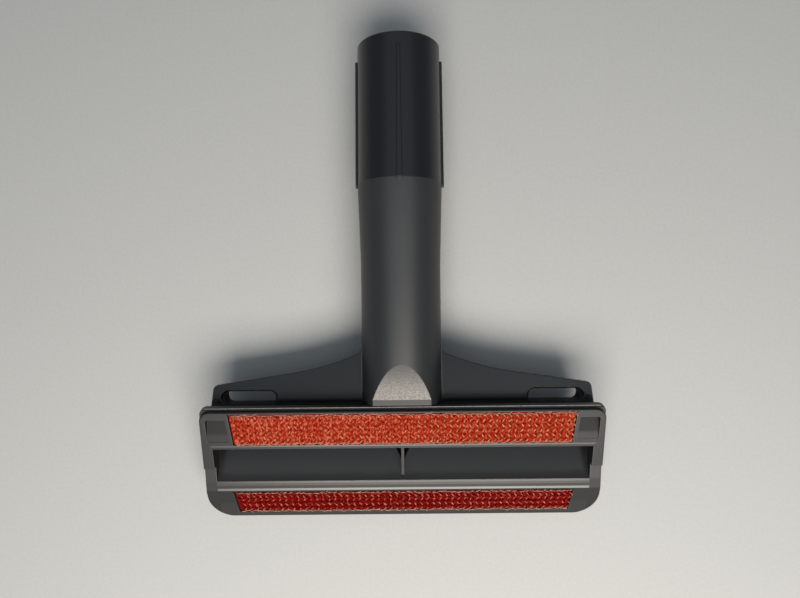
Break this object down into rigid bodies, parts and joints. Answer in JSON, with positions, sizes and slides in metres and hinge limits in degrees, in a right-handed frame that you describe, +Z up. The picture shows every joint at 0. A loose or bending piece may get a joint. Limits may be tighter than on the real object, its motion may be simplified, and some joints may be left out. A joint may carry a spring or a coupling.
{
  "type": "vacuum upholstery nozzle",
  "caption": "Wide slotted suction head on a round socket tube, with flat wings and pile lint strips either side of the slot.",
  "frame": {"origin": "centre of the socket's mouth, on the axis of the tube", "axes": "+Y out of the socket's mouth along the tube, +Z up through the sole's side, +X across the head"},
  "size_m": [0.1876, 0.2248, 0.0422],
  "materials": {
    "body_plastic": "moulded dark grey plastic, finely grained on the sole and neck, polished on socket and wings",
    "rear_pile": "short orange-red pile with rows of loops",
    "front_pile": "short dark red pile with rows of loops"
  },
  "bodies": {
    "root": {"nozzle_body": "body_plastic", "rear_lint_strip": "rear_pile", "front_lint_strip": "front_pile"}
  },
  "joints": []
}
